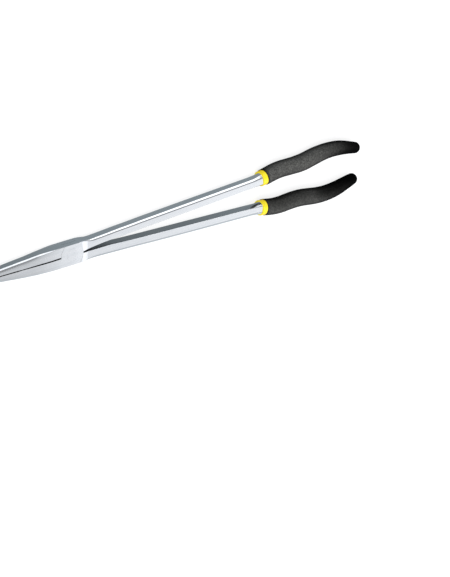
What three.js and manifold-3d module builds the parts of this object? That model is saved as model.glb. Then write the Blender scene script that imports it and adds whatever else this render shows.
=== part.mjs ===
// Long-reach needle-nose pliers, millimetres.
// The tool lies flat: +X runs along the handles, the jaws point to -X, +Z is
// the pivot axis. The origin is on that axis, on the flat underside of the joint.
//
// Two forged halves cross in a lap joint. Each half, with its handle, is
// modelled in the same local frame: jaw at -Y, shank at +Y, lap leaf in the +Z
// layer of the joint. The rear half is then turned over about X, so its jaw is
// the upper one (+Y) and its shank the lower one (-Y).
import * as THREE from 'three';
import { mergeVertices } from 'three/addons/utils/BufferGeometryUtils.js';
import Module from 'manifold-3d';

const wasm = await Module();
wasm.setup();

// ---------------------------------------------------------------- dimensions
const CLEAR = 0.3;             // clearance between nested or neighbouring pieces
const OVERCUT = 2;             // how far cutting tools run past the joint

// Joint
const JOINT_T = 10.0;          // thickness along Z
const MID_Z = JOINT_T / 2;
const JOINT_HALF_W = 8.05;     // from the X axis to each flat side of the leaf
const LAP_R = 10.4;            // radius of the lap leaf
const POCKET_R = LAP_R + CLEAR; // pocket that the other half's leaf turns in
const LEAF_GAP = 0.3;          // gap between the two lap leaves
const LAP_SEGMENTS = 56;

// Rivet
const RIVET_R = 4.0;
const RIVET_HEAD_R = 5.0;      // countersunk ends
const RIVET_HEAD_T = 1.2;
const RIVET_CLEAR = 0.15;
const RIVET_SEGMENTS = 40;
const SINK_LIFT = 0.001;       // lifts the countersink cutter clear of the face

// Handle, from the joint to its end
const RAMP_X0 = 9.4;           // the joint ramps down to the shank thickness
const RAMP_X1 = 15.0;
const COLLAR_X0 = 188.3;       // rim nearest the jaws
const COLLAR_X1 = 192.6;
const COLLAR_RIM = 0.3;        // length of the slope at each rim
const MOUTH_R = 4.4;           // collar opening around the tang
const SEAT_EXTRA = 0.05;       // added clearance where the collar holds the sleeve
const SHANK_X1 = COLLAR_X0 - CLEAR;
const GRIP_X0 = COLLAR_X1 + CLEAR;
const NECK_CUT_X = 184;        // the neck is cut to the shank thickness found here
const NECK_SKIN = 0.02;        // extra cut that keeps it inside the shank faces there
const NECK_BOX = { x0: 170, x1: 195, y0: 2, y1: 30 }; // roomy box around the neck
const TANG_OVERLAP = 2;        // length of tang buried in the shank
const TANG_X1 = 262.0;
const TANG_W = 4.0;            // across the handle
const TANG_T = 5.4;            // along Z
const SLEEVE_X0 = 190.0;
const SLEEVE_X1 = 266.0;
const SLEEVE_R = 4.5;          // outer radius
const END_CLEAR = 0.8;         // clearance past the ends of the tang and the sleeve
const END_CAP_ANGLES = [30, 55, 75, 86]; // rings of the grip's round end, degrees

// Mesh resolution of the bars along the handle
const SIDES = { neck: 28, collar: 28, collarBore: 24, grip: 18, sleeve: 14 };
const BAR_STEPS = 15;          // tang, sleeve and their bores
const GRIP_STEPS = 19;

// -------------------------------------------------------------------- tables
// Jaws, shared: [x, value].
// Line on which the two jaws meet (y), and the relief gap between them.
const MEET_LINE = [[-115, 0.36], [-68, 0.01], [-21, -0.3], [-11, -0.12], [12, 0.0]];
const JAW_GAP = [
  [-115, 0.16], [-75, 0.2], [-60, 0.3], [-48, 0.42], [-36, 0.72], [-29, 0.9], [-9, 1.0],
  [12, 1.0],
];
// Inset of each jaw face from the joint face, and chamfer of the outer edges.
const JAW_INSET = [
  [-115, 2.75], [-113, 2.6], [-100, 2.05], [-90, 1.6], [-80, 1.2], [-68, 0.85],
  [-40, 0.4], [-12, 0.0], [10, 0.0],
];
const JAW_CHAMFER = [
  [-115, 0.7], [-113, 0.85], [-100, 1.1], [-80, 1.4], [-60, 1.6], [-30, 1.5],
  [-20, 0.8], [-12, 0.2], [10, 0.2],
];
// Shanks, shared: [x, value].
const SHANK_INSET = [[0, 0], [RAMP_X0, 0], [RAMP_X1, 0.55], [100, 0.55], [188, 0.79]];
const SHANK_CHAMFER = [[0, 0.2], [RAMP_X0, 0.25], [RAMP_X1, 1.4], [20, 1.6], [184, 1.6]];

// X of the cross sections.
const JAW_STATIONS = [
  -115, -113.8, -112, -106, -100, -90, -80, -68, -60, -50, -44, -40, -36, -30, -26,
  -20, -12, 0,
];
const SHANK_STATIONS = [
  0, RAMP_X0, 10.4, RAMP_X1, 17.4, 20, 24, 28, 32, 37, 46, 56, 66, 85, 100, SHANK_X1,
];

// Round neck, growing out of the shank towards the collar: [x, radius].
const NECK_R = [[179.5, 3.1], [182, 3.55], [184.5, 4.35], [186.5, 4.82], [188, 4.9]];
// Collar, rim to rim: [x, radius].
const COLLAR_R = [
  [COLLAR_X0, 5.66], [COLLAR_X0 + COLLAR_RIM, 5.94],
  [COLLAR_X1 - COLLAR_RIM, 5.97], [COLLAR_X1, 5.75],
];

// Outlines of each half in the local frame, all [x, value]:
//   jawOuter               distance of the jaw's outer edge from the X axis
//   shankInner, shankOuter y of the shank's edges
//   handleLine             y of the handle's centre line
//   gripR                  grip radius; the round end follows the last point
// meetSign flips the meeting line for the half that is turned over.
const FRONT_HALF = {
  meetSign: 1,
  jawOuter: [
    [-115, 0.35], [-113.8, 0.85], [-112, 1.15], [-100, 2.15], [-90, 3.1], [-80, 4.05],
    [-68, 5.1], [-60, 5.9], [-50, 6.9], [-40, 7.75], [-30, 8.3], [-20, 8.35],
    [-12, 8.15], [0, 8.05], [10, 8.05],
  ],
  shankInner: [
    [0, 0], [11, 0.1], [17.4, 0.9], [22, 1.35], [27, 1.85], [32, 2.2], [37, 2.45],
    [46, 2.75], [56, 3.15], [66, 3.75], [85, 4.6], [184, 9.25],
  ],
  shankOuter: [
    [0, 8.05], [8, 8.1], [14, 8.05], [20, 7.8], [28, 7.98], [35, 8.4], [46, 9.1],
    [56, 9.55], [66, 10.15], [85, 11.1], [184, 15.75],
  ],
  handleLine: [
    [180, 12.3], [187, 12.65], [193, 13.4], [199, 14.55], [205, 15.5], [211, 15.9],
    [218, 15.78], [226, 15.75], [233, 16.2], [240, 17.35], [248, 18.7], [256, 19.45],
    [263, 19.45], [270, 18.85], [277, 17.6], [283, 16.15], [287.1, 15.15],
  ],
  gripR: [
    [192, 6.45], [205, 6.55], [220, 6.6], [232, 6.78], [242, 6.72], [252, 6.38],
    [262, 6.05], [270, 5.8], [277, 5.3], [283, 4.8], [287.1, 4.5],
  ],
};
const REAR_HALF = {
  meetSign: -1,
  jawOuter: [
    [-115, 1.6], [-113.8, 2.05], [-112, 2.3], [-100, 3.15], [-90, 3.7], [-80, 4.25],
    [-68, 4.9], [-60, 5.42], [-50, 6.12], [-41, 6.65], [-36, 7.08], [-31, 7.5],
    [-26, 7.75], [-20, 7.98], [-12, 8.12], [0, 8.05], [10, 8.05],
  ],
  shankInner: [
    [0, 0], [8, 0.3], [10.4, 1.15], [15, 1.32], [27, 1.38], [37, 1.5], [46, 2.0],
    [56, 2.6], [66, 3.05], [85, 3.82], [188, 7.9],
  ],
  shankOuter: [
    [0, 8.05], [8, 8.05], [20, 8.0], [28, 8.2], [37, 8.5], [46, 8.85], [56, 9.2],
    [66, 9.65], [85, 10.5], [188, 14.18],
  ],
  handleLine: [
    [180, 10.45], [187, 10.75], [193, 11.35], [199, 12.45], [205, 13.15], [211, 13.3],
    [218, 12.85], [226, 12.65], [233, 13.05], [240, 14.0], [248, 15.05], [256, 15.38],
    [263, 15.0], [270, 14.0], [277, 12.35], [282, 11.15], [285.1, 10.4],
  ],
  gripR: [
    [192, 6.35], [205, 6.45], [220, 6.55], [232, 6.6], [242, 6.5], [252, 6.25],
    [262, 6.0], [270, 5.7], [277, 5.2], [282, 4.85], [285.1, 4.5],
  ],
};

// ------------------------------------------------------------------- helpers
// Linear interpolation in an [x, value] table, held constant past its ends.
function at(table, x) {
  const i = table.findIndex(([stationX]) => x <= stationX);
  if (i === 0) return table[0][1];
  if (i < 0) return table[table.length - 1][1];
  const [x0, y0] = table[i - 1];
  const [x1, y1] = table[i];
  return y0 + (y1 - y0) * (x - x0) / (x1 - x0);
}

// Evenly spaced values from start to end.
function span(start, end, steps) {
  return Array.from({ length: steps + 1 }, (_, i) => start + (end - start) * i / steps);
}

function toSolid(geometry) {
  const bare = geometry.clone();
  bare.deleteAttribute('normal');
  bare.deleteAttribute('uv');
  const welded = mergeVertices(bare, 1e-4);
  return new wasm.Manifold(new wasm.Mesh({
    numProp: 3,
    vertProperties: new Float32Array(welded.getAttribute('position').array),
    triVerts: new Uint32Array(welded.index.array),
  }));
}

function toGeometry(solid) {
  const mesh = solid.getMesh();
  const geometry = new THREE.BufferGeometry();
  const positions = new Float32Array(mesh.vertProperties);
  geometry.setAttribute('position', new THREE.BufferAttribute(positions, 3));
  geometry.setIndex(new THREE.BufferAttribute(new Uint32Array(mesh.triVerts), 1));
  geometry.computeVertexNormals();
  return geometry;
}

// A solid through a row of matching cross sections. Each station lists the
// same number of points, anticlockwise as seen looking back along the row.
// A regular prism gives the triangles; its vertices then move to the stations.
function loft(stations) {
  const count = stations[0].length;
  const steps = stations.length - 1;
  const pitch = 2 * Math.PI / count;
  const ring = new THREE.Shape(stations[0].map((_, i) => (
    new THREE.Vector2(Math.cos(i * pitch), Math.sin(i * pitch)))));
  const geometry = new THREE.ExtrudeGeometry(ring, {
    depth: steps, steps, bevelEnabled: false, curveSegments: 1,
  });
  const position = geometry.getAttribute('position');
  for (let k = 0; k < position.count; k++) {
    const turn = Math.round(Math.atan2(position.getY(k), position.getX(k)) / pitch);
    const station = stations[Math.round(position.getZ(k))];
    position.setXYZ(k, ...station[(turn + count) % count]);
  }
  return toSolid(geometry);
}

// A cone frustum on the pivot axis.
function cone(bottomR, topR, z0, z1, segments) {
  const geometry = new THREE.CylinderGeometry(topR, bottomR, z1 - z0, segments);
  geometry.rotateX(Math.PI / 2);
  geometry.translate(0, 0, (z0 + z1) / 2);
  return toSolid(geometry);
}

function disc(radius, z0, z1, segments) {
  return cone(radius, radius, z0, z1, segments);
}

function block(x0, x1, y0, y1, z0, z1) {
  const geometry = new THREE.BoxGeometry(x1 - x0, y1 - y0, z1 - z0);
  geometry.translate((x0 + x1) / 2, (y0 + y1) / 2, (z0 + z1) / 2);
  return toSolid(geometry);
}

// A handle's centre line as a smooth curve at mid thickness.
function centreLine(table) {
  const points = table.map(([x, y]) => new THREE.Vector3(x, y, MID_Z));
  return new THREE.CatmullRomCurve3(points, false, 'centripetal');
}

// Point, tangent and in-plane normal where the curve reaches x, by bisection.
function frameAtX(curve, x) {
  let low = 0;
  let high = 1;
  for (let i = 0; i < 40; i++) {
    const middle = (low + high) / 2;
    if (curve.getPoint(middle).x < x) low = middle;
    else high = middle;
  }
  const t = (low + high) / 2;
  const tangent = curve.getTangent(t);
  const normal = new THREE.Vector3(-tangent.y, tangent.x, 0).normalize();
  return { point: curve.getPoint(t), tangent, normal };
}

// A round bar along the curve: stations of [x, radius, push along the tangent].
function roundBar(curve, stations, sides) {
  return loft(stations.map(([x, radius, push = 0]) => {
    const { point, tangent, normal } = frameAtX(curve, x);
    return Array.from({ length: sides }, (_, i) => {
      const angle = 2 * Math.PI * (i + 0.5) / sides;
      const across = radius * Math.cos(angle);
      return [
        point.x + tangent.x * push + normal.x * across,
        point.y + tangent.y * push + normal.y * across,
        point.z + radius * Math.sin(angle),
      ];
    });
  }));
}

// A rectangular bar along the curve.
function flatBar(curve, stations, width, thickness) {
  return loft(stations.map((x) => {
    const { point, normal } = frameAtX(curve, x);
    return [[-1, -1], [1, -1], [1, 1], [-1, 1]].map(([across, up]) => [
      point.x + normal.x * across * width / 2,
      point.y + normal.y * across * width / 2,
      point.z + up * thickness / 2,
    ]);
  }));
}

// ---------------------------------------------------------------- steel half
// Jaw: outer edges chamfered, tapering to the tip.
function makeJaw({ jawOuter, meetSign }) {
  return loft(JAW_STATIONS.map((x) => {
    const bottom = at(JAW_INSET, x);
    const top = JOINT_T - bottom;
    const chamfer = at(JAW_CHAMFER, x);
    const outer = -at(jawOuter, x);
    const inner = meetSign * at(MEET_LINE, x) - at(JAW_GAP, x) / 2;
    return [
      [x, outer, bottom + chamfer], [x, outer + chamfer, bottom], [x, inner, bottom],
      [x, inner, top], [x, outer + chamfer, top], [x, outer, top - chamfer],
    ];
  }));
}

// Shank: ramps down from the joint thickness, outer edges chamfered.
function makeShank({ shankInner, shankOuter }) {
  return loft(SHANK_STATIONS.map((x) => {
    const bottom = at(SHANK_INSET, x);
    const top = JOINT_T - bottom;
    const chamfer = at(SHANK_CHAMFER, x);
    const inner = at(shankInner, x);
    const outer = at(shankOuter, x);
    return [
      [x, inner, bottom], [x, outer - chamfer, bottom], [x, outer, bottom + chamfer],
      [x, outer, top - chamfer], [x, outer - chamfer, top], [x, inner, top],
    ];
  }));
}

// Neck: a round bar, cut flat at about the shank's own thickness.
function makeNeck(curve) {
  const inset = at(SHANK_INSET, NECK_CUT_X) + NECK_SKIN;
  const { x0, x1, y0, y1 } = NECK_BOX;
  return roundBar(curve, NECK_R, SIDES.neck)
    .intersect(block(x0, x1, y0, y1, inset, JOINT_T - inset));
}

function makeHalf(shape) {
  const curve = centreLine(shape.handleLine);
  const leafZ = MID_Z + LEAF_GAP / 2;
  const reach = LAP_R + OVERCUT;
  const zEnd = JOINT_T + OVERCUT;

  // The leaf is flat on its two Y sides.
  const leaf = disc(LAP_R, leafZ, JOINT_T, LAP_SEGMENTS)
    .intersect(block(-reach, reach, -JOINT_HALF_W, JOINT_HALF_W, -OVERCUT, zEnd));
  const pocket = disc(POCKET_R, -OVERCUT, leafZ, LAP_SEGMENTS);

  const boreR = RIVET_R + RIVET_CLEAR;
  const bore = disc(boreR, -OVERCUT, zEnd, RIVET_SEGMENTS);
  const sinkTop = JOINT_T + SINK_LIFT;
  const sinkBottom = sinkTop - RIVET_HEAD_T - RIVET_CLEAR;
  const sink = cone(boreR, RIVET_HEAD_R + RIVET_CLEAR, sinkBottom, sinkTop, RIVET_SEGMENTS);

  // The tang is a narrower flat bar that follows the grip's curve.
  const tangStations = span(SHANK_X1 - TANG_OVERLAP, TANG_X1, BAR_STEPS);
  const tang = flatBar(curve, tangStations, TANG_W, TANG_T);

  return makeJaw(shape)
    .add(makeShank(shape))
    .add(makeNeck(curve))
    .subtract(pocket)
    .add(leaf)
    .subtract(bore)
    .subtract(sink)
    .add(tang);
}

// -------------------------------------------------------------- handle parts
function makeSleeve(curve) {
  const stations = span(SLEEVE_X0, SLEEVE_X1, BAR_STEPS).map((x) => [x, SLEEVE_R]);
  const slotStations = span(SLEEVE_X0 - 1, TANG_X1 + END_CLEAR, BAR_STEPS);
  const slot = flatBar(curve, slotStations, TANG_W + 2 * CLEAR, TANG_T + 2 * CLEAR);
  return roundBar(curve, stations, SIDES.sleeve).subtract(slot);
}

// The mouth opens around the tang; the wider seat takes the sleeve.
function makeCollar(curve) {
  const seatR = SLEEVE_R + CLEAR + SEAT_EXTRA;
  const mouth = [[COLLAR_X0 - 1, MOUTH_R], [SLEEVE_X0 - 0.4, MOUTH_R]];
  const seat = [[SLEEVE_X0 - 1, seatR], [COLLAR_X1 + 1, seatR]];
  return roundBar(curve, COLLAR_R, SIDES.collar)
    .subtract(roundBar(curve, mouth, SIDES.collarBore))
    .subtract(roundBar(curve, seat, SIDES.collarBore));
}

function makeGrip(curve, gripR) {
  const [endX, endR] = gripR[gripR.length - 1];
  const body = span(GRIP_X0, endX, GRIP_STEPS).map((x) => [x, at(gripR, x)]);
  const roundEnd = END_CAP_ANGLES.map((degrees) => {
    const angle = degrees * Math.PI / 180;
    return [endX, endR * Math.cos(angle), endR * Math.sin(angle)];
  });
  const bore = span(GRIP_X0 - 1, SLEEVE_X1 + END_CLEAR, BAR_STEPS)
    .map((x) => [x, SLEEVE_R + CLEAR]);
  return roundBar(curve, [...body, ...roundEnd], SIDES.grip)
    .subtract(roundBar(curve, bore, SIDES.sleeve));
}

// Rivet: straight shank with countersunk ends flush with both joint faces.
function makeRivet() {
  const profile = [ // [radius, z]
    [0, 0], [RIVET_HEAD_R, 0], [RIVET_R, RIVET_HEAD_T],
    [RIVET_R, JOINT_T - RIVET_HEAD_T], [RIVET_HEAD_R, JOINT_T], [0, JOINT_T],
  ].map(([radius, z]) => new THREE.Vector2(radius, z));
  const geometry = new THREE.LatheGeometry(profile, RIVET_SEGMENTS);
  geometry.rotateX(Math.PI / 2);
  return toSolid(geometry);
}

// ----------------------------------------------------------------- materials
function steel() {
  return new THREE.MeshStandardMaterial({ color: 0xc9ced2, roughness: 0.32, metalness: 1.0 });
}

function yellow() {
  return new THREE.MeshStandardMaterial({ color: 0xf2d51a, roughness: 0.45, metalness: 0.0 });
}

function charcoal() {
  return new THREE.MeshStandardMaterial({ color: 0x2f2f2d, roughness: 0.85, metalness: 0.0 });
}

// ------------------------------------------------------------------ assembly
function piece(name, solid, material) {
  const mesh = new THREE.Mesh(toGeometry(solid), material);
  mesh.name = name;
  return mesh;
}

// One steel half with the sleeve, collar and grip of its handle.
function assembleHalf(halfName, handle, shape) {
  const curve = centreLine(shape.handleLine);
  return new THREE.Group().add(
    piece(halfName, makeHalf(shape), steel()),
    piece(`${handle}_inner_sleeve`, makeSleeve(curve), yellow()),
    piece(`${handle}_collar`, makeCollar(curve), yellow()),
    piece(`${handle}_grip`, makeGrip(curve, shape.gripR), charcoal()),
  );
}

const front = assembleHalf('front_half', 'upper', FRONT_HALF);

const rear = assembleHalf('rear_half', 'lower', REAR_HALF);
rear.rotation.x = Math.PI;
rear.position.z = JOINT_T;

const group = new THREE.Group();
group.add(front, rear, piece('pivot_rivet', makeRivet(), steel()));

export default group;
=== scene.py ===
# Long-reach needle-nose pliers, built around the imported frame.
# X runs from the jaw tips (-X) to the grips (+X). The pivot axis is Z, through the origin,
# and the joint fills Z = 0 to its thickness. The front half has the lower (-Y) jaw and the
# upper (+Y) handle; the rear half has the upper jaw and the lower handle. Both halves are
# shaped in the front half's attitude, and the rear one is then turned over about X.
# Shapes are in millimetres and scaled to metres when a piece is finished.
import math
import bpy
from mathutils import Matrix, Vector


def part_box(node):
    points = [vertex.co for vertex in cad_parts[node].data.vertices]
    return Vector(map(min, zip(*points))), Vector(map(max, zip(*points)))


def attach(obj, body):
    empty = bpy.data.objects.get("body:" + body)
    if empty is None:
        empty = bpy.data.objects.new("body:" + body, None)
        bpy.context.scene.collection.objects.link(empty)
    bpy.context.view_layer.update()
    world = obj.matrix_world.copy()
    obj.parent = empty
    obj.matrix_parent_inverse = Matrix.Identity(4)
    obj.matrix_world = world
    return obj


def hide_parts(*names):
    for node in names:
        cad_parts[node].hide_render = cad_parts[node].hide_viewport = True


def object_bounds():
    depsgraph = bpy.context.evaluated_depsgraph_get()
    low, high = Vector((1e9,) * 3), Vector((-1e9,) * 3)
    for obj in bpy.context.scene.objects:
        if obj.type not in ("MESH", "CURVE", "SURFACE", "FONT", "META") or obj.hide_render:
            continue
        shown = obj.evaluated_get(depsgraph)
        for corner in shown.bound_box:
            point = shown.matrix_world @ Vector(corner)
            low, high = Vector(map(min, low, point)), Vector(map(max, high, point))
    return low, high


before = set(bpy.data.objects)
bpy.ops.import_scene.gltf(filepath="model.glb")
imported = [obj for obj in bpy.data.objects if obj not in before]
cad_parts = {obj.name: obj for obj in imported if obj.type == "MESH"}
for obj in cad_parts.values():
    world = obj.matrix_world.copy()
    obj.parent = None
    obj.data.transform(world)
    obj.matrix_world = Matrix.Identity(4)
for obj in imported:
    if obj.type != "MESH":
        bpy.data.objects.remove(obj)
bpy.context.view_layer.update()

from types import SimpleNamespace

import bpy
import bmesh
import numpy as np
from mathutils import Matrix, Vector, noise

MM = 0.001

# The joint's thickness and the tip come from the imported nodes.
rivet_lo, rivet_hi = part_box("pivot_rivet")
JOINT_T = (rivet_hi.z - rivet_lo.z) / MM
MID = JOINT_T / 2
TIP_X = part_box("front_half")[0].x / MM

# Lap joint
LAP_R = 10.52               # round leaf of each half
POCKET_R = LAP_R + 0.14     # pocket the other half's leaf turns in
LEAF_GAP = 0.12             # between the two leaves
FLAT = 8.05                 # half the width across the leaf's ground sides
RIVET_R, RIVET_HEAD_R = 4.0, 5.0
HOLE_CLEARANCE = 0.03
SINK_DEPTH = 1.25

# Jaws
NOSE_L = 3.0                # length of the rounded nose
TOOTH_PITCH, TOOTH_DEPTH = 1.3, 0.34
TEETH_X0, TEETH_X1 = -113.2, -46.0

# Handles
NECK_R = 4.92               # round neck the shank swells to beside the collar
NECK_X = 187.6
TANG_X0, TANG_X1 = 188.4, 262.0
TANG_HALF_Y, TANG_HALF_Z = 2, 2.7
GRIP_X0 = 192.9
GRIP_BORE_R, GRIP_BORE_X1 = 4.82, 266.9
GRIP_SIDES, COLLAR_SIDES = 120, 144


# ------------------------------------------------------------------ curves
def curve(table):
    """Monotone cubic through (x, value) pairs, so outlines have no corners."""
    x, y = np.array(table, float).T
    step = np.diff(x)
    slope = np.diff(y) / step
    tangent = np.zeros_like(y)
    tangent[0], tangent[-1] = slope[0], slope[-1]
    for i in range(1, len(x) - 1):
        if slope[i - 1] * slope[i] > 0:
            w1, w2 = 2 * step[i] + step[i - 1], step[i] + 2 * step[i - 1]
            tangent[i] = (w1 + w2) / (w1 / slope[i - 1] + w2 / slope[i])

    def value(at):
        if at <= x[0]:
            return float(y[0])
        if at >= x[-1]:
            return float(y[-1])
        i = int(np.searchsorted(x, at) - 1)
        t = (at - x[i]) / step[i]
        return float((2 * t**3 - 3 * t**2 + 1) * y[i]
                     + (t**3 - 2 * t**2 + t) * step[i] * tangent[i]
                     + (-2 * t**3 + 3 * t**2) * y[i + 1]
                     + (t**3 - t**2) * step[i] * tangent[i + 1])
    return value


def ease(x, start, end):
    """Smooth step from 0 at start to 1 at end."""
    t = min(1.0, max(0.0, (x - start) / (end - start)))
    return t * t * (3 - 2 * t)


def between(a, b, time_a, time_b, time):
    return (time_b - time) / (time_b - time_a) * a + (time - time_a) / (time_b - time_a) * b


class Line:
    """A handle's centre line through (x, y) pairs, in the plane through the joint's middle."""

    def __init__(self, table):
        points = np.array(table, float)
        self.end_x = table[-1][0]
        padded = np.vstack([2 * points[0] - points[1], points, 2 * points[-1] - points[-2]])
        # centripetal Catmull-Rom, sampled finely
        samples = []
        for i in range(1, len(padded) - 2):
            p = padded[i - 1:i + 3]
            t = [0.0]
            for a, b in zip(p[:-1], p[1:]):
                t.append(t[-1] + np.linalg.norm(b - a) ** 0.5)
            for time in np.linspace(t[1], t[2], 24, endpoint=False):
                a = [between(p[k], p[k + 1], t[k], t[k + 1], time) for k in range(3)]
                b = [between(a[k], a[k + 1], t[k], t[k + 2], time) for k in range(2)]
                samples.append(between(b[0], b[1], t[1], t[2], time))
        samples.append(points[-1])
        self.samples = np.array(samples)

    def at(self, x):
        """Point, direction along the line and sideways direction at X = x."""
        s = self.samples
        i = int(np.clip(np.searchsorted(s[:, 0], x) - 1, 0, len(s) - 2))
        point = s[i] + (s[i + 1] - s[i]) * ((x - s[i, 0]) / (s[i + 1, 0] - s[i, 0]))
        along = s[min(len(s) - 1, i + 4)] - s[max(0, i - 3)]
        along = along / np.linalg.norm(along)
        return point, along, np.array([-along[1], along[0]])


# ------------------------------------------- outlines: (x, value) in mm
# Y of the line the jaws meet on, and the gap between them
meet_line = curve([(-115, 0.36), (-68, 0.01), (-21, -0.3), (-11, -0.12), (12, 0.0)])
jaw_gap = curve([
    (-115, 0.16), (-75, 0.2), (-60, 0.32), (-48, 0.48), (-36, 0.82), (-29, 0.95), (-9, 1.0),
    (12, 1.0)])
# how far each side face sits in from the joint's faces
jaw_inset = curve([
    (-115, 2.75), (-113, 2.6), (-100, 2.05), (-90, 1.6), (-80, 1.2), (-68, 0.85), (-40, 0.4),
    (-12, 0.0), (10, 0.0)])
jaw_chamfer = curve([
    (-115, 0.55), (-113, 0.65), (-100, 0.8), (-80, 0.9), (-45, 0.95), (-28, 0.98), (-22, 0.76),
    (-17, 0.42), (-13, 0.2), (10, 0.16)])
# how far the side face has fallen where it meets the chamfer
jaw_crown = curve([
    (-115, 0.3), (-100, 0.46), (-80, 0.6), (-60, 0.68), (-40, 0.66), (-31, 0.44), (-25, 0.2),
    (-18, 0.04), (-12, 0.0), (10, 0.0)])
shank_chamfer = curve([
    (-3, 0.14), (9, 0.16), (12, 0.4), (16, 0.62), (24, 0.86), (40, 0.95), (190, 1.15)])
shank_inset = curve([
    (-3, 0.0), (9.2, 0.0), (9.8, 0.03), (14.7, 0.52), (15.3, 0.55), (100, 0.55), (190, 0.8)])

# Each half, in the front half's attitude: the jaw's outer edge (distance from Y = 0), the
# shank's inner and outer edges, and the grip's centre line and radius. grip_painted_shade is
# painted shade that darkens the grip along X, and grip_side_painted_light scales it by so much
# more on one side, eased in over side_span; rim_painted_shade is (start, end, amount) of a
# further painted shade. Spans are in grip radii.
FRONT = SimpleNamespace(
    body="front", handle="upper", turned=False, meet_sign=1, shank_painted_shade=1.0,
    jaw_out=curve([
        (-115, 0.35), (-112, 1.15), (-100, 2.15), (-90, 3.1), (-80, 4.05), (-68, 5.1),
        (-60, 5.9), (-50, 6.9), (-40, 7.75), (-30, 8.3), (-20, 8.35), (-12, 8.15), (0, 8.05),
        (10, 8.05)]),
    shank_in=curve([
        (-3, 0), (0, 0), (11, 0.1), (17.4, 0.9), (22, 1.35), (27, 1.85), (32, 2.2), (37, 2.45),
        (46, 2.75), (56, 3.15), (66, 3.75), (85, 4.6), (190, 9.53)]),
    shank_out=curve([
        (-3, 8.05), (0, 8.05), (8, 8.1), (12, 8.15), (15, 7.9), (18, 7.55), (21, 7.6),
        (25, 7.85), (30, 8.08), (35, 8.4), (46, 9.1), (56, 9.55), (66, 10.15), (85, 11.1),
        (190, 16.03)]),
    line=Line([
        (180, 12.3), (187, 12.65), (193, 13.4), (199, 14.55), (205, 15.5), (211, 15.9),
        (218, 15.78), (226, 15.75), (233, 16.2), (240, 17.35), (248, 18.7), (256, 19.45),
        (263, 19.45), (270, 18.85), (277, 17.6), (283, 16.15), (287.1, 15.15)]),
    grip_r=curve([
        (192, 6.45), (205, 6.55), (220, 6.6), (232, 6.78), (242, 6.72), (252, 6.38),
        (262, 6.05), (270, 5.8), (277, 5.3), (283, 4.8), (287.1, 4.5)]),
    noise_seed=1, lip_angle=-0.7,
    grip_painted_shade=curve([
        (190, 1.0), (236, 1.0), (246, 0.84), (252, 0.66), (258, 0.54), (264, 0.42),
        (269, 0.31), (274, 0.15), (279, 0.08), (284, 0.04), (291, 0.03)]),
    grip_side_painted_light=curve([(190, 1.45), (240, 1.45), (256, 1.4), (280, 1.0), (291, 0.8)]),
    side_span=(-1.1, 0.45), rim_painted_shade=(0.45, 0.9, 0.55))
REAR = SimpleNamespace(
    body="rear", handle="lower", turned=True, meet_sign=-1, shank_painted_shade=0.96,
    jaw_out=curve([
        (-115, 1.6), (-112, 2.3), (-100, 3.15), (-90, 3.7), (-80, 4.25), (-68, 4.9),
        (-60, 5.42), (-50, 6.12), (-41, 6.65), (-36, 7.08), (-31, 7.5), (-26, 7.75),
        (-20, 7.98), (-12, 8.12), (0, 8.05), (10, 8.05)]),
    shank_in=curve([
        (-3, 0), (0, 0), (8, 0.3), (10.4, 1.15), (14, 1.3), (18, 1.35), (27, 1.38), (37, 1.5),
        (46, 2.0), (56, 2.6), (66, 3.05), (85, 3.82), (190, 7.98)]),
    shank_out=curve([
        (-3, 8.05), (0, 8.05), (8, 8.05), (12, 8.1), (16, 7.98), (20, 7.98), (28, 8.2),
        (37, 8.5), (46, 8.85), (56, 9.2), (66, 9.65), (85, 10.5), (190, 14.25)]),
    line=Line([
        (180, 10.45), (187, 10.75), (193, 11.35), (199, 12.45), (205, 13.15), (211, 13.3),
        (218, 12.85), (226, 12.65), (233, 13.05), (240, 14.0), (248, 15.05), (256, 15.38),
        (263, 15.0), (270, 14.0), (277, 12.35), (282, 11.15), (285.1, 10.4)]),
    grip_r=curve([
        (192, 6.35), (205, 6.45), (220, 6.55), (232, 6.6), (242, 6.5), (252, 6.25), (262, 6.0),
        (270, 5.7), (277, 5.2), (282, 4.85), (285.1, 4.5)]),
    noise_seed=2, lip_angle=math.pi - 0.7,
    grip_painted_shade=curve([
        (190, 1.0), (238, 1.0), (244, 0.9), (250, 0.72), (256, 0.55), (262, 0.42), (268, 0.3),
        (274, 0.2), (280, 0.09), (289, 0.045)]),
    grip_side_painted_light=curve([
        (190, 0.75), (205, 0.6), (240, 0.6), (247, 0.35), (256, 0.22), (289, 0.15)]),
    side_span=(-1.2, 0.15), rim_painted_shade=(0.3, 0.9, 0.72))


# ------------------------------------------------------------------- meshes
def rounded(polygon, setbacks, segments):
    """Corners of a polygon rounded off; the point count depends only on segments."""
    out, n = [], len(polygon)
    for i in range(n):
        before, corner, after = (np.array(polygon[(i + k - 1) % n], float) for k in range(3))
        if not segments[i]:
            out.append(corner)
            continue
        back, ahead = before - corner, after - corner
        back_l, ahead_l = np.linalg.norm(back), np.linalg.norm(ahead)
        cut = min(setbacks[i], 0.47 * back_l, 0.47 * ahead_l)
        a, b = corner + back / back_l * cut, corner + ahead / ahead_l * cut
        for k in range(segments[i] + 1):
            t = k / segments[i]
            out.append((1 - t) ** 2 * a + 2 * t * (1 - t) * corner + t * t * b)
    return out


def loft_mesh(name, rings, wrap=False):
    """A closed skin over rings of points, which run anticlockwise seen from the last ring's
    side. The ends are capped, or joined to each other with wrap."""
    bm = bmesh.new()
    verts = [[bm.verts.new(Vector(p)) for p in ring] for ring in rings]
    n = len(rings[0])
    pairs = list(zip(verts[:-1], verts[1:]))
    if wrap:
        pairs.append((verts[-1], verts[0]))
    for a, b in pairs:
        for i in range(n):
            j = (i + 1) % n
            bm.faces.new((a[i], a[j], b[j], b[i]))
    if not wrap:
        bm.faces.new(list(reversed(verts[0])))
        bm.faces.new(verts[-1])
    bm.normal_update()
    return mesh_from(bm, name)


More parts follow.
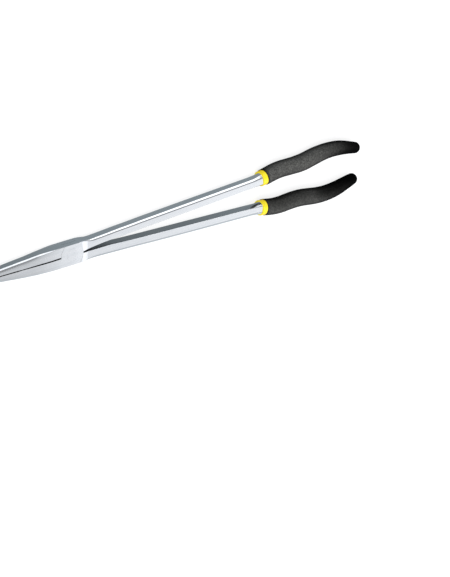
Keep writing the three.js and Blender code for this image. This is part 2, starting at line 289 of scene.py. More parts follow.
def mesh_from(bm, name):
    mesh = bpy.data.meshes.new(name)
    bm.to_mesh(mesh)
    bm.free()
    return mesh


def new_object(name, mesh):
    obj = bpy.data.objects.new(name, mesh)
    bpy.context.scene.collection.objects.link(obj)
    return obj


def spun(name, profile, segments=160):
    """A closed solid about the pivot axis from (radius, z) pairs."""
    angles = [2 * math.pi * i / segments for i in range(segments)]
    rings = [[(r * math.cos(a), r * math.sin(a), z) for a in angles] for r, z in profile]
    return new_object(name, loft_mesh(name, rings))


def box_object(name, lo, hi):
    (x0, y0, z0), (x1, y1, z1) = lo, hi
    rings = [[(x0, y0, z), (x1, y0, z), (x1, y1, z), (x0, y1, z)] for z in (z0, z1)]
    return new_object(name, loft_mesh(name, rings))


def ring_points(line, x, radii, pushes):
    """A ring about a centre line: one radius and one push along the line per point."""
    centre, along, side = line.at(x)
    return [Vector((centre[0] + along[0] * push + side[0] * r * math.cos(a),
                    centre[1] + along[1] * push + side[1] * r * math.cos(a),
                    MID + r * math.sin(a)))
            for a, r, push in zip(ring_angles(len(radii)), radii, pushes)]


def ring_angles(count):
    return [2 * math.pi * (i + 0.5) / count for i in range(count)]


def bake(obj):
    """Turns an object's modifiers into its mesh."""
    depsgraph = bpy.context.evaluated_depsgraph_get()
    mesh = bpy.data.meshes.new_from_object(obj.evaluated_get(depsgraph))
    old = obj.data
    obj.modifiers.clear()
    obj.data = mesh
    bpy.data.meshes.remove(old)


def boolean(target, cutter, operation):
    modifier = target.modifiers.new("boolean", "BOOLEAN")
    modifier.operation = operation
    modifier.solver = "EXACT"
    modifier.object = cutter
    bake(target)
    bpy.data.objects.remove(cutter)


def clean(obj, merge=0.004):
    bm = bmesh.new()
    bm.from_mesh(obj.data)
    bmesh.ops.remove_doubles(bm, verts=bm.verts, dist=merge)
    bmesh.ops.dissolve_degenerate(bm, edges=bm.edges, dist=merge * 0.5)
    bm.normal_update()
    bm.to_mesh(obj.data)
    bm.free()


def turn_over(obj):
    """Turns a rear piece over about X, into its place."""
    obj.data.transform(Matrix.Translation((0, 0, JOINT_T)) @ Matrix.Rotation(math.pi, 4, "X"))


def finish_mesh(obj, sharp_deg=32, weighted=True):
    """From millimetres to metres, with smooth shading across gentle edges only."""
    obj.data.transform(Matrix.Scale(MM, 4))
    for face in obj.data.polygons:
        face.use_smooth = True
    obj.data.set_sharp_from_angle(angle=math.radians(sharp_deg))
    if weighted:
        modifier = obj.modifiers.new("even_shading", "WEIGHTED_NORMAL")
        modifier.mode = "FACE_AREA"
        modifier.keep_sharp = True
        modifier.weight = 60
        bake(obj)
    obj.data.update()


# --------------------------------------------------------------- one half
def jaw_stations():
    """(x, whether a tooth root): fine at the nose, half a tooth apart on the teeth."""
    stations = [(TIP_X + d, False) for d in (0, 0.12, 0.35, 0.75, 1.3)]
    k, x = 0, TEETH_X0
    while x < TEETH_X1:
        stations.append((x, k % 2 == 1))
        x += TOOTH_PITCH / 2
        k += 1
    plain = list(np.arange(TEETH_X1 + 1.0, -12.0, 2.0)) + [-11.0, -8.0, -4.0, 0.0, 2.5]
    return stations + [(x, False) for x in plain]


def jaw_section(x, is_root, half):
    """Jaw outline at X = x, in Y and Z: side faces that fall away to a chamfered outside."""
    inset, chamfer = jaw_inset(x), jaw_chamfer(x)
    outer = -half.jaw_out(x)
    inner = half.meet_sign * meet_line(x) - jaw_gap(x) / 2
    nose = (x - TIP_X) / NOSE_L
    if nose < 1:
        size = 0.42 + 0.58 * math.sqrt(max(0.0, 1 - (1 - nose) ** 2))
        outer = inner + (-half.jaw_out(TIP_X + NOSE_L) - inner) * size
        inset = jaw_inset(TIP_X + NOSE_L) + (1 - size) * 1.1
        chamfer = min(chamfer, 0.45 * abs(outer - inner))
    # the teeth fade in at the tip and out towards the joint
    fade = min(1.0, (x - TEETH_X0) / 2.0, (TEETH_X1 - x) / 6.0)
    biting = inner - TOOTH_DEPTH * max(0.0, fade) * is_root
    chamfer = min(chamfer, 0.3 * abs(outer - inner))
    drop = min(jaw_crown(x), 0.17 * abs(outer + chamfer - inner))
    width = biting - (outer + chamfer)
    # (y, depth below the side face) from the outer edge to the biting face
    side = [(outer, drop + chamfer), (outer + chamfer, drop)]
    side += [(biting - width * u, drop * u**3) for u in (0.96, 0.9, 0.82, 0.73, 0.62, 0.48, 0.3)]
    side.append((biting, 0.0))
    polygon = [(y, inset + d) for y, d in side]
    polygon += [(y, JOINT_T - inset - d) for y, d in reversed(side)]
    setbacks = [0.22, 0.1] + [0] * 7 + [0.22]
    segments = [3, 1] + [0] * 7 + [3]
    return rounded(polygon, setbacks + setbacks[::-1], segments + segments[::-1])


def shank_section(x, half):
    """Shank outline at X = x, in Y and Z: square inside; chamfered, with a short roll on to
    each face, outside. Beside the collar both sides swell to a round neck."""
    slim = ease(x, 176, NECK_X)
    swell_out, swell_in = ease(x, 177.5, NECK_X), ease(x, 168, 188)
    inset, chamfer = shank_inset(x), shank_chamfer(x)
    roll = 0.06 + 1.04 * ease(x, 9.5, 22)
    inner, outer = half.shank_in(x) + slim * 0.1, half.shank_out(x)
    low, high = inset, JOINT_T - inset
    # the centre line runs on straight ahead of its first point
    centre_y = half.line.at(max(x, 180.0))[0][1] - 0.042 * max(0.0, 180.0 - x)

    def neck(y, z, share, inside=False):
        """Moves a point its share of the way out to the neck, less near one face."""
        reach = math.sqrt(max(0.0, NECK_R**2 - (z - MID)**2))
        share *= 0.2 + 0.8 * ease(JOINT_T - z if half.turned else z, 1.0, 5.2)
        if inside:
            return (y - max(0.0, y - (centre_y - reach)) * swell_in * share, z)
        return (y + max(0.0, centre_y + reach - y) * swell_out * share, z)

    roll_h = 0.268 * roll
    z0, z1 = low + roll_h + chamfer, high - roll_h - chamfer
    edge = outer - chamfer
    # (Y back from the chamfer, depth below the face, share of the neck)
    turn = [(roll * (1 - u), 0.268 * roll * u * u, share)
            for u, share in ((0.25, 0.1), (0.5, 0.2), (0.75, 0.32))]
    polygon = [(inner, low)]
    polygon += [neck(edge - a, low + d, share) for a, d, share in turn]
    polygon.append(neck(edge, low + roll_h, 0.45))
    polygon += [neck(outer, z0 + (z1 - z0) * k / 8, 1.0) for k in range(9)]
    polygon.append(neck(edge, high - roll_h, 0.45))
    polygon += [neck(edge - a, high - d, share) for a, d, share in reversed(turn)]
    polygon.append((inner, high))
    polygon += [neck(inner, high - 0.9 - (high - low - 1.8) * k / 8, 1.0, True)
                for k in range(9)]
    setbacks = [0.28 + 0.3 * slim, 0, 0, 0, 0.1, 0.2]
    segments = [3, 0, 0, 0, 1, 3]
    return rounded(polygon, setbacks + [0] * 7 + setbacks[::-1] + [0] * 9,
                   segments + [0] * 7 + segments[::-1] + [0] * 9)


def jaw_piece(name, half):
    rings = [[(x, y, z) for y, z in jaw_section(x, is_root, half)]
             for x, is_root in jaw_stations()]
    return new_object(name, loft_mesh(name, rings))


def shank_piece(name, half):
    """Ramps from the joint down to the shank's own thickness."""
    spans = ((-2.5, 8.0, 1.5), (8.0, 24.0, 0.4), (24.0, 90.0, 2.0), (90.0, 165.0, 4.0),
             (166.0, 189.4, 0.65))
    stations = [float(x) for span in spans for x in np.arange(*span)] + [189.5]
    rings = [[(x, y, z) for y, z in shank_section(x, half)] for x in stations]
    return new_object(name, loft_mesh(name, rings))


def leaf_piece(name, z_leaf):
    """The half's round layer of the lap joint, with its two ground sides."""
    leaf = spun(name + "_leaf", [(LAP_R, z_leaf), (LAP_R, JOINT_T)])
    side = FLAT - 0.004
    boolean(leaf, box_object(name + "_flats", (-12, -side, -1), (12, side, 12)), "INTERSECT")
    return leaf


def tang_piece(name, line):
    """A flat bar inside the grip, on the handle's curve."""
    w, h = TANG_HALF_Y, TANG_HALF_Z
    section = rounded([(-w, -h), (w, -h), (w, h), (-w, h)], [0.3] * 4, [2] * 4)
    rings = []
    for x in np.linspace(TANG_X0, TANG_X1, 26):
        centre, _, side = line.at(float(x))
        rings.append([(centre[0] + side[0] * u, centre[1] + side[1] * u, MID + v)
                      for u, v in section])
    return new_object(name, loft_mesh(name, rings))


def steel_half(name, half):
    """Jaw at -Y, upper layer of the lap joint, shank at +Y."""
    z_leaf = MID + LEAF_GAP / 2
    body = jaw_piece(name, half)
    shank = shank_piece(name + "_shank", half)
    leaf = leaf_piece(name, z_leaf)
    for part in (body, shank):
        pocket = spun(name + "_pocket", [(POCKET_R, -2.0), (POCKET_R, z_leaf)])
        boolean(part, pocket, "DIFFERENCE")
    boolean(body, leaf, "UNION")
    boolean(body, shank, "UNION")
    hole_r, sink_r = RIVET_R + HOLE_CLEARANCE, RIVET_HEAD_R + HOLE_CLEARANCE
    boolean(body, spun(name + "_bore", [(hole_r, -2.0), (hole_r, 12.0)], 96), "DIFFERENCE")
    sink = [(hole_r, JOINT_T - SINK_DEPTH), (sink_r, JOINT_T + 0.02)]
    boolean(body, spun(name + "_sink", sink, 96), "DIFFERENCE")
    boolean(body, tang_piece(name + "_tang", half.line), "UNION")
    return body


# painted light and shade along X: painted shade on the walls in the crotch, and painted light
# and shade on the outside
crotch_painted_shade = curve([
    (6, 0.04), (12, 0.045), (20, 0.12), (30, 0.22), (40, 0.36), (50, 0.44), (64, 0.49),
    (120, 0.55), (165, 0.7), (190, 0.78)])
# painted light and shade of the outside: darker towards the jaw tips, with a painted highlight
# on the ramp behind the joint
outside_painted_light = curve([
    (-115, 0.76), (-60, 0.785), (-36, 0.815), (-26, 0.875), (-14, 0.925), (-7, 0.965),
    (0, 0.985), (5, 1.045), (9, 1.04), (15, 0.97), (60, 0.975), (190, 1.01)])


def painted_light_at(x, centre, normal, half):
    """Painted light and shade of a corner at X = x of the face with this centre and normal."""
    if centre.x < -9 and normal.y > 0.55 and centre.y > -2.6:  # biting face: painted shade in the slot between the jaws
        return 0.26
    facing_in = normal.y < -0.8 + 0.55 * ease(centre.x, 166, 176)
    near_edge = abs(centre.y - half.shank_in(centre.x)) < 0.5 + 2 * ease(centre.x, 166, 172)
    if centre.x > 6 and facing_in and near_edge:  # shank's inner wall: painted shade in the crotch, more on its sloping faces by the collar
        sloping = ease(abs(normal.z), 0.15, 0.5) * ease(x, 170, 182)
        return crotch_painted_shade(x) * (1 - 0.2 * sloping)
    # painted shade on the lap faces and pocket walls hidden between the two halves
    lap_face = abs(centre.z - MID) < 0.4 and abs(normal.z) > 0.9
    pocket_wall = abs(normal.z) < 0.3 and centre.z < MID and abs(normal.y) < 0.9
    if math.hypot(centre.x, centre.y) < POCKET_R + 0.3 and (lap_face or pocket_wall):
        return 0.3
    # painted light and shade along X, with a little painted shade on the rear half's shank
    painted_light = outside_painted_light(x) * (1 + (half.shank_painted_shade - 1) * ease(x, 9, 16))
    if centre.x > 11 and 0.17 < normal.y < 0.6 and abs(normal.z) > 0.8:  # roll by the chamfer: painted shade over its reflection
        painted_light *= 1 - 0.3 * ease(x, 10, 15)
    return painted_light


def store_painted_light(obj, half):
    """Stores painted light and shade for each corner of the steel: painted shade darkens the
    walls that face each other inside the joint, the slot and the crotch, and the outside varies
    along X."""
    mesh = obj.data
    attribute = mesh.attributes.new("painted_light", "FLOAT", "CORNER")
    values = np.ones(len(mesh.loops), dtype=np.float32)
    for face in mesh.polygons:
        for i in face.loop_indices:
            x = mesh.vertices[mesh.loops[i].vertex_index].co.x
            values[i] = painted_light_at(x, face.center, face.normal, half)
    attribute.data.foreach_set("value", values)


def rivet_piece():
    """Countersunk ends, ground flush, edges just broken."""
    end = [(0.02, 0.0), (3.0, 0.0), (4.9, 0.0), (4.97, 0.02), (RIVET_HEAD_R, 0.07),
           (4.98, 0.14), (4.02, 1.15), (RIVET_R, 1.3)]
    profile = end + [(RIVET_R, MID)] + [(r, JOINT_T - z) for r, z in reversed(end)]
    return spun("flush_rivet", profile, 96)


# ------------------------------------------------------------ grip, collar
def grip_piece(name, half):
    """Soft sleeve with a blind bore and a rounded tail."""
    line, radius, end_x = half.line, half.grip_r, half.line.end_x
    angles = ring_angles(GRIP_SIDES)

    def ring(x, r, push=0.0):
        return ring_points(line, x, [r] * GRIP_SIDES, [push] * GRIP_SIDES)

    def rough_ring(x, r, push, rough):
        """A ring with a coarse and a fine unevenness."""
        side = line.at(x)[2]
        shift = Vector((half.noise_seed * 7.3, half.noise_seed * 3.1, 0))
        points = ring(x, r, push)
        for a, p in zip(angles, points):
            height = 0.055 * noise.noise(p * 0.22 + shift) + 0.018 * noise.noise(p * 1.7 + shift)
            away = Vector((side[0] * math.cos(a), side[1] * math.cos(a), math.sin(a)))
            p += away * height * rough
        return points

    def rim(x, r):
        """A ring whose edge rides towards the joint, over the collar, on one side."""
        pushes = [-1.35 * max(0.0, math.cos(a - half.lip_angle)) ** 2 for a in angles]
        return ring_points(line, x, [r] * GRIP_SIDES, pushes)

    # bore, from its closed end towards the joint
    rings = [ring(GRIP_BORE_X1, 0.02), ring(GRIP_BORE_X1, GRIP_BORE_R * 0.6)]
    for x in np.linspace(GRIP_BORE_X1, GRIP_X0 + 0.5, 40):
        rings.append(ring(float(x), GRIP_BORE_R))
    # open end and its rounded rim
    rings += [ring(GRIP_X0 + 0.12, GRIP_BORE_R + 0.2), ring(GRIP_X0 + 0.02, GRIP_BORE_R + 0.5),
              ring(GRIP_X0 + 0.02, 6.0), rim(GRIP_X0, 6.06), rim(GRIP_X0 + 0.02, 6.14)]
    for degrees in (20, 45, 70, 90):
        q = math.radians(degrees)
        rings.append(rim(GRIP_X0 + 0.35 * (1 - math.cos(q)),
                         6.16 + (radius(GRIP_X0) - 6.16) * math.sin(q)))
    # outside
    x = GRIP_X0 + 0.75
    while x < end_x - 0.1:
        rings.append(rough_ring(x, radius(x), 0.0, min(1.0, (x - GRIP_X0 - 0.6) / 2.0)))
        x += 0.34
    # rounded tail
    end_r, steps = radius(end_x), 22
    for i in range(steps):
        q = math.radians(90.0 * i / steps)
        push = end_r * math.sin(q) * 0.97
        rings.append(rough_ring(end_x, end_r * math.cos(q), push, math.cos(q)))
    rings.append(ring(end_x, 0.02, end_r * 0.97))
    grip = new_object(name, loft_mesh(name, rings))
    store_grip_painted_shade(grip, half)
    return grip


def store_grip_painted_shade(obj, half):
    """Stores painted shade: darker towards the tail, lighter or darker on one side, at the rim
    by the collar and along the tail's edges.
    """
    end_x = half.line.end_x
    attribute = obj.data.attributes.new("painted_shade", "FLOAT", "POINT")
    values = np.ones(len(obj.data.vertices), dtype=np.float32)
    rim_start, rim_end, rim_amount = half.rim_painted_shade
    for i, vertex in enumerate(obj.data.vertices):
        x = min(vertex.co.x, end_x + half.grip_r(end_x))
        centre, _, side = half.line.at(min(x, end_x))
        r = max(0.5, half.grip_r(min(x, end_x)))
        across = ((vertex.co.x - centre[0]) * side[0] + (vertex.co.y - centre[1]) * side[1]) / r
        over = (vertex.co.z - MID) / r
        # place between the two sides, -1 to 1
        u = (0.876 * across - 0.482 * over) * (-1 if half.turned else 1)
        k = ease(u, *half.side_span)
        # painted shade along X and across the grip, then at its rim beside the collar
        painted_shade = (half.grip_painted_shade(x) * (1 - k + k * half.grip_side_painted_light(x))
                 * (1 - rim_amount * ease(u, rim_start, rim_end))
                 * (0.3 + 0.7 * ease(x, GRIP_X0 - 1.0, GRIP_X0 + 1.7)))
        # painted shade along the tail's two edges
        tail = ease(x, 246, 276)
        edges = (1 - 0.8 * tail * ease(-u, 0.2, 0.9)) * (1 - 0.8 * tail * ease(u, 0.45, 0.9))
        values[i] = painted_shade * edges
    attribute.data.foreach_set("value", values)


def ray_reach(points, angle):
    """How far a ray from the origin runs to the far side of a closed outline."""
    dx, dy = math.cos(angle), math.sin(angle)
    hits = []
    for start, end in zip(points, points[1:] + points[:1]):
        edge = end - start
        det = dx * -edge[1] + edge[0] * dy
        if abs(det) < 1e-9:
            continue
        reach = (start[0] * -edge[1] + edge[0] * start[1]) / det
        share = (dx * start[1] - dy * start[0]) / det
        if reach > 0 and -1e-6 <= share <= 1 + 1e-6:
            hits.append(reach)
    return max(hits, default=4.0)


# Outer wall (x, radius) from the grip end to the joint end: a lip, a shallow waist and a
# bead, then the flat end.
COLLAR_WALL = [
    (192.6, 5.7), (192.58, 5.84), (192.48, 5.94), (192.3, 5.98), (191.5, 5.97), (191.1, 5.95),
    (190.98, 5.91), (190.9, 5.84), (190.8, 5.81), (190.5, 5.8), (190.1, 5.8), (189.8, 5.81),
    (189.7, 5.84), (189.62, 5.91), (189.5, 5.95), (189.1, 5.96), (188.75, 5.95), (188.52, 5.9),
    (188.37, 5.8), (188.3, 5.66), (188.3, 5.4)]
# Mouth (x, gap round the shank), then the counterbore (x, radius)
COLLAR_MOUTH = [(188.31, 0.1), (188.38, 0.05), (189.6, 0.05)]
COLLAR_COUNTERBORE = [(189.62, 4.86), (190.2, 4.86), (192.4, 4.86), (192.6, 5.05)]


def collar_piece(name, half):
    """Flared ring with a mouth shaped to the shank and a counterbore for the sleeve."""
    still = [0.0] * COLLAR_SIDES

    def circle(x, r):
        return ring_points(half.line, x, [r] * COLLAR_SIDES, still)

    def mouth(x, gap):
        """The shank's own outline with a small gap, met along rays from the ring's centre."""
        centre_y = half.line.at(x)[0][1]
        grow = 1 + gap / 4.6
        outline = [np.array(((y - centre_y) * grow, (z - MID) * grow))
                   for y, z in shank_section(x, half)]
        radii = [ray_reach(outline, a) for a in ring_angles(COLLAR_SIDES)]
        return ring_points(half.line, x, radii, still)

    rings = [circle(x, r) for x, r in COLLAR_WALL]
    rings += [mouth(x, gap) for x, gap in COLLAR_MOUTH]
    rings += [circle(x, r) for x, r in COLLAR_COUNTERBORE]
    return new_object(name, loft_mesh(name, rings[::-1], wrap=True))


# ---------------------------------------------------------------- materials
def set_inputs(nt, node, inputs):
    """Links each named input to a socket, or sets its value."""
    for key, value in inputs.items():
        if isinstance(value, bpy.types.NodeSocket):
            nt.links.new(value, node.inputs[key])
        else:
            node.inputs[key].default_value = value


def add_node(nt, kind, inputs, **settings):
    node = nt.nodes.new("ShaderNode" + kind)
    for key, value in settings.items():
        setattr(node, key, value)
    set_inputs(nt, node, inputs)
    return node


def node_material(name):
    material = bpy.data.materials.new(name)
    material.use_nodes = True
    nt = material.node_tree
    nt.nodes.clear()
    out = add_node(nt, "OutputMaterial", {})
    bsdf = add_node(nt, "BsdfPrincipled", {})
    nt.links.new(bsdf.outputs["BSDF"], out.inputs["Surface"])
    return material, nt, bsdf


def noise_texture(nt, scale, detail, roughness, offset=(0, 0, 0)):
    coords = add_node(nt, "TexCoord", {})
    mapping = add_node(nt, "Mapping", {
        "Scale": scale, "Location": offset, "Vector": coords.outputs["Object"]})
    texture = add_node(nt, "TexNoise", {
        "Scale": 1.0, "Detail": detail, "Roughness": roughness,
        "Vector": mapping.outputs["Vector"]})
    return texture.outputs["Fac"]


def ramp(nt, source, stops):
    """Colours a value by (position, colour) stops."""
    node = add_node(nt, "ValToRGB", {"Fac": source})
    elements = node.color_ramp.elements
    while len(elements) < len(stops):
        elements.new(0.5)
    for element, (position, color) in zip(elements, stops):
        element.position = position
        element.color = (*color, 1)
    return node.outputs["Color"]


def remap(nt, source, to, span=(0.3, 0.7), smooth=False):
    node = add_node(nt, "MapRange", {
        "From Min": span[0], "From Max": span[1], "To Min": to[0], "To Max": to[1],
        "Value": source})
    if smooth:
        node.interpolation_type = "SMOOTHSTEP"
    return node.outputs["Result"]


def calc(nt, operation, a, b):
    return add_node(nt, "Math", {0: a, 1: b}, operation=operation).outputs["Value"]


def multiply_colors(nt, a, b, factor=1.0):
    node = add_node(nt, "Mix", {"Factor": factor, "A": a, "B": b},
                    data_type="RGBA", blend_type="MULTIPLY")
    return node.outputs["Result"]


def scale_color(nt, color, factor):
    node = add_node(nt, "VectorMath", {0: color, "Scale": factor}, operation="SCALE")
    return node.outputs["Vector"]


def stored(nt, name):
    """The value of a mesh attribute."""
    return add_node(nt, "Attribute", {}, attribute_name=name).outputs["Fac"]


def facing(nt):
    """0 where the surface faces the viewer, up to 1 where it turns away."""
    return add_node(nt, "LayerWeight", {"Blend": 0.5}).outputs["Facing"]


def add_bumps(nt, bsdf, layers):
    """layers: (height socket, strength, distance in metres), coarse first."""
    inputs = {}
    for height, strength, distance in layers:
        inputs.update({"Strength": strength, "Distance": distance, "Height": height})
        inputs["Normal"] = add_node(nt, "Bump", inputs).outputs["Normal"]
    nt.links.new(inputs["Normal"], bsdf.inputs["Normal"])


def scaled(color, factor):
    return tuple(c * factor for c in color)


def steel_material(name, tint=1.0, roughness=(0.19, 0.27), painted_lit=True):
    """Satin nickel-chrome plate over lengthwise grinding marks."""
    material, nt, bsdf = node_material(name)
    grind = noise_texture(nt, (55, 2600, 2600), detail=3, roughness=0.6)
    streak = noise_texture(nt, (14, 420, 420), detail=3, roughness=0.5, offset=(0.3, 0.1, 0.7))
    cloud = noise_texture(nt, (90, 130, 130), detail=4, roughness=0.6, offset=(1.3, 0.4, 0.2))
    speck = noise_texture(nt, (1500, 1500, 1500), detail=2, roughness=0.5)
    plate = ramp(nt, streak, [(0.3, scaled((0.735, 0.755, 0.78), tint)),
                              (0.5, scaled((0.77, 0.785, 0.805), tint)),
                              (0.72, scaled((0.80, 0.812, 0.828), tint))])
    clouding = ramp(nt, cloud, [(0.3, (0.955, 0.96, 0.968)), (0.7, (1.0, 1.0, 1.0))])
    color = multiply_colors(nt, plate, clouding)
    # painted light and shade, stored per corner, scales the plate's colour
    if painted_lit:
        color = scale_color(nt, color, stored(nt, "painted_light"))
    set_inputs(nt, bsdf, {
        "Base Color": color, "Metallic": 1.0,
        "Roughness": calc(nt, "ADD", remap(nt, streak, to=roughness),
                          remap(nt, speck, to=(-0.02, 0.03)))})
    add_bumps(nt, bsdf, [(cloud, 0.04, 0.0002), (streak, 0.08, 0.00005), (grind, 0.18, 0.00002)])
    return material


def grip_material(name, level):
    """Charcoal moulded rubber foam with a fine pebble, under painted shade that darkens it
    towards the tail.
    """
    material, nt, bsdf = node_material(name)
    fine = noise_texture(nt, (2300, 2300, 2300), detail=3, roughness=0.6)
    grain = noise_texture(nt, (820, 820, 820), detail=3, roughness=0.65, offset=(0.7, 0.1, 0.4))
    coords = add_node(nt, "TexCoord", {})
    pebble = add_node(nt, "TexVoronoi", {"Scale": 1150, "Vector": coords.outputs["Object"]})
    blotch = noise_texture(nt, (260, 260, 260), detail=4, roughness=0.65, offset=(0.2, 0.5, 0.1))
    charcoal = ramp(nt, grain, [(0.28, scaled((0.020, 0.020, 0.019), level)),
                                (0.5, scaled((0.048, 0.048, 0.0455), level)),
                                (0.74, scaled((0.090, 0.0895, 0.084), level))])
    blotching = ramp(nt, blotch, [(0.3, (0.80, 0.80, 0.81)), (0.7, (1.14, 1.14, 1.12))])
    color = multiply_colors(nt, charcoal, blotching)
    # painted shade: darker where the surface turns away from the viewer
    edge = remap(nt, facing(nt), span=(0.42, 0.85), to=(1.0, 0.2), smooth=True)
    painted_shade = stored(nt, "painted_shade")
    set_inputs(nt, bsdf, {
        "Base Color": scale_color(nt, color, calc(nt, "MULTIPLY", edge, painted_shade)),
        "Roughness": remap(nt, blotch, to=(0.74, 0.9)),
        # the painted shade also dims the sheen
        "Specular IOR Level": remap(nt, painted_shade, span=(0.0, 1.0), to=(0.03, 0.28))})
    add_bumps(nt, bsdf, [(blotch, 0.25, 0.0002), (grain, 0.4, 0.00016),
                         (pebble.outputs["Distance"], 0.35, 0.0001), (fine, 0.4, 0.00006)])
    return material


def yellow_material(name, level=1.0):
    """Bright moulded plastic with slight flow marks."""
    material, nt, bsdf = node_material(name)
    flow = noise_texture(nt, (260, 520, 520), detail=3, roughness=0.5)
    fine = noise_texture(nt, (2200, 2200, 2200), detail=2, roughness=0.5)
    yellow = ramp(nt, flow, [(0.3, (0.94 * level, 0.74 * level, 0.008)),
                             (0.55, (0.98 * level, 0.80 * level, 0.012)),
                             (0.75, (1.0 * level, 0.85 * level, 0.02))])
    # painted shade: darker and more orange where the surface turns away from the viewer
    away = remap(nt, facing(nt), span=(0.35, 0.95), to=(0.0, 1.0), smooth=True)
    color = multiply_colors(nt, yellow, (0.95, 0.70, 0.4, 1), factor=away)
    set_inputs(nt, bsdf, {
        "Base Color": scale_color(nt, color, 0.6),
        # painted glow: emission lightens the plastic, which is no lamp, over its dimmed base
        # colour
        "Emission Color": color, "Emission Strength": 0.38,
        "Roughness": remap(nt, fine, to=(0.30, 0.42)),
        "Subsurface Weight": 0.08, "Subsurface Radius": (0.0012, 0.0009, 0.0003),
        "Subsurface Scale": 1.0})
    add_bumps(nt, bsdf, [(flow, 0.12, 0.0001), (fine, 0.15, 0.00003)])
    return material


def floor_material():
    material, nt, bsdf = node_material("floor_pale")
    mottle = noise_texture(nt, (6, 6, 6), detail=3, roughness=0.5)
    set_inputs(nt, bsdf, {
        "Base Color": ramp(nt, mottle, [(0.3, (0.262, 0.262, 0.263)),
                                        (0.7, (0.275, 0.275, 0.276))]),
        "Roughness": 0.9, "Specular IOR Level": 0.0,
        "Emission Color": (1.0, 1.0, 1.0, 1), "Emission Strength": 0.78})
    return material


STEEL = {body: steel_material("satin_steel_" + body) for body in ("front", "rear")}
STEEL_RIVET = steel_material("satin_steel_rivet", tint=0.985, roughness=(0.2, 0.28), painted_lit=False)
YELLOW = yellow_material("collar_yellow")
YELLOW_IN = yellow_material("sleeve_yellow", level=0.9)
# painted light: the upper grip's copy is 5% lighter than the lower grip's
GRIP = {"upper": grip_material("grip_charcoal_upper", level=1.05),
        "lower": grip_material("grip_charcoal_lower", level=1.0)}


# ------------------------------------------------------------------- pieces
def dress(obj, material, body, node):
    obj.data.materials.clear()
    obj.data.materials.append(material)
    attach(obj, body)
    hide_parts(node)


for half in (FRONT, REAR):
    node = half.body + "_half"
    steel = steel_half(node + "_forging", half)
    clean(steel)
    store_painted_light(steel, half)
    if half.turned:
        turn_over(steel)
    finish_mesh(steel)
    dress(steel, STEEL[half.body], half.body, node)

rivet = rivet_piece()
finish_mesh(rivet)
dress(rivet, STEEL_RIVET, "rear", "pivot_rivet")

for half in (FRONT, REAR):
    grip = grip_piece(half.handle + "_grip_skin", half)
    collar = collar_piece(half.handle + "_collar_ring", half)
    if half.turned:
        turn_over(grip)
        turn_over(collar)
    finish_mesh(grip, sharp_deg=50, weighted=False)
    finish_mesh(collar, sharp_deg=40, weighted=False)
    dress(grip, GRIP[half.handle], half.body, half.handle + "_grip")
    dress(collar, YELLOW, half.body, half.handle + "_collar")
    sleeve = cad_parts[half.handle + "_inner_sleeve"]
    sleeve.data.materials.clear()
    sleeve.data.materials.append(YELLOW_IN)
    # keeps a yellow smear off the satin steel beside them
    collar.visible_glossy = False
    sleeve.visible_glossy = False


# -------------------------------------------------------------------- stage
def floor_piece(half_size=60.0, drop=0.0002):
    """A square just below everything, in metres."""
    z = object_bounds()[0].z - drop
    bm = bmesh.new()
    corners = ((-1, -1), (1, -1), (1, 1), (-1, 1))
    bm.faces.new([bm.verts.new((half_size * x, half_size * y, z)) for x, y in corners])
    floor = new_object("floor", mesh_from(bm, "floor"))
    floor.data.materials.append(floor_material())
    floor.visible_glossy = False
    floor.visible_diffuse = False


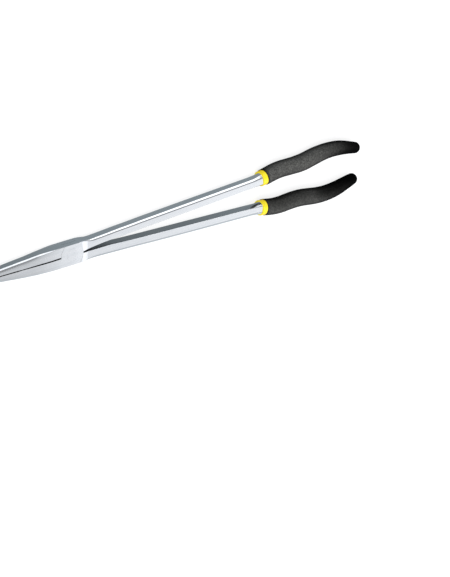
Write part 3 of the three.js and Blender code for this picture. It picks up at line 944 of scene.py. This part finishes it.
def studio_world():
    """A soft studio seen in the steel, and a plain white backdrop for the camera."""
    world = bpy.data.worlds.new("studio")
    bpy.context.scene.world = world
    world.use_nodes = True
    nt = world.node_tree
    nt.nodes.clear()
    out = add_node(nt, "OutputWorld", {})
    view = add_node(nt, "TexCoord", {}).outputs["Generated"]
    axes = add_node(nt, "SeparateXYZ", {"Vector": view}).outputs

    def toward(direction):
        """Cosine of the angle to a direction."""
        node = add_node(nt, "VectorMath", {0: view, 1: Vector(direction).normalized()},
                        operation="DOT_PRODUCT")
        return node.outputs["Value"]

    def lobe(direction, inner_deg, outer_deg, value, outside=0.0):
        """A soft patch round a direction."""
        span = [math.cos(math.radians(degrees)) for degrees in (outer_deg, inner_deg)]
        return remap(nt, toward(direction), span=span, to=(outside, value), smooth=True)

    # even light, a little stronger from below
    base = remap(nt, axes["Z"], span=(-0.25, 0.1), to=(0.335, 0.30), smooth=True)
    # a bright wall at -Y, brighter towards +X and dimmer low down
    wall = remap(nt, toward((0.2, -0.82, 0.54)), span=(0.05, 0.42), to=(0.0, 0.60), smooth=True)
    wall = calc(nt, "MULTIPLY", wall, remap(nt, axes["X"], span=(0.40, 0.80), to=(0.70, 1.50)))
    wall = calc(nt, "MULTIPLY", wall, remap(nt, axes["Z"], span=(-0.45, -0.1), to=(0.6, 1.0)))
    dark_patch = lobe((0.589, 0.22, 0.78), inner_deg=9, outer_deg=24, value=0.42, outside=1.0)
    level = calc(nt, "MULTIPLY", calc(nt, "ADD", base, wall), dark_patch)
    # bright patches: (direction, inner and outer angle in degrees, strength)
    for direction, inner, outer, strength in (((0.589, 0.717, 0.373), 10, 21, 1.75),
                                              ((0.78, -0.37, 0.50), 7, 19, 0.36),
                                              ((-0.55, 0.35, 0.76), 12, 52, 0.6)):
        level = calc(nt, "ADD", level, lobe(direction, inner, outer, strength))
    tint = add_node(nt, "Mix", {
        "Factor": remap(nt, axes["Z"], span=(-0.5, 0.35), to=(0.0, 1.0)),
        "A": (0.86, 0.99, 1.06, 1), "B": (0.975, 0.99, 1.012, 1)}, data_type="RGBA")
    studio = add_node(nt, "Background", {"Strength": level, "Color": tint.outputs["Result"]})
    backdrop = add_node(nt, "Background", {"Color": (1.0, 1.0, 1.0, 1), "Strength": 1.0})
    path = add_node(nt, "LightPath", {})
    mix = add_node(nt, "MixShader", {
        "Fac": path.outputs["Is Camera Ray"],
        1: studio.outputs["Background"], 2: backdrop.outputs["Background"]})
    nt.links.new(mix.outputs["Shader"], out.inputs["Surface"])


def area_light(name, location, watts, size=1.8, target=(0.09, 0.0, 0.0)):
    """A round lamp aimed at the target, unseen by the camera and in reflections."""
    data = bpy.data.lights.new(name, "AREA")
    data.shape = "DISK"
    data.size = size
    data.energy = watts
    lamp = new_object(name, data)
    lamp.location = location
    lamp.rotation_mode = "QUATERNION"
    lamp.rotation_quaternion = (Vector(location) - Vector(target)).to_track_quat("Z", "Y")
    lamp.visible_glossy = False
    lamp.visible_camera = False


def long_lens_camera():
    data = bpy.data.cameras.new("camera")
    camera = new_object("camera", data)
    data.type = "PERSP"
    data.sensor_fit = "AUTO"
    data.sensor_width = 36.0
    data.lens = 265.842
    # columns: the camera's right, up and backward directions, and its place
    camera.matrix_world = Matrix((
        (0.7505490016991415, 0.24151114630608422, -0.6151004489173647, -1.8487013790075669),
        (0.013873701557424303, 0.9248570459826366, 0.38006179089901554, 1.169381472538142),
        (0.660669142955472, -0.29378871779936117, 0.6907998790100427, 2.255346508193542),
        (0, 0, 0, 1)))
    data.clip_start, data.clip_end = 0.1, 200.0
    bpy.context.scene.camera = camera


floor_piece()
studio_world()
area_light("key", location=(0.2, -1.1, 1.7), watts=22)
area_light("front", location=(-1.2, 0.4, 1.9), watts=30)
long_lens_camera()
bpy.context.scene.view_settings.view_transform = "Standard"
bpy.context.scene.view_settings.look = "None"
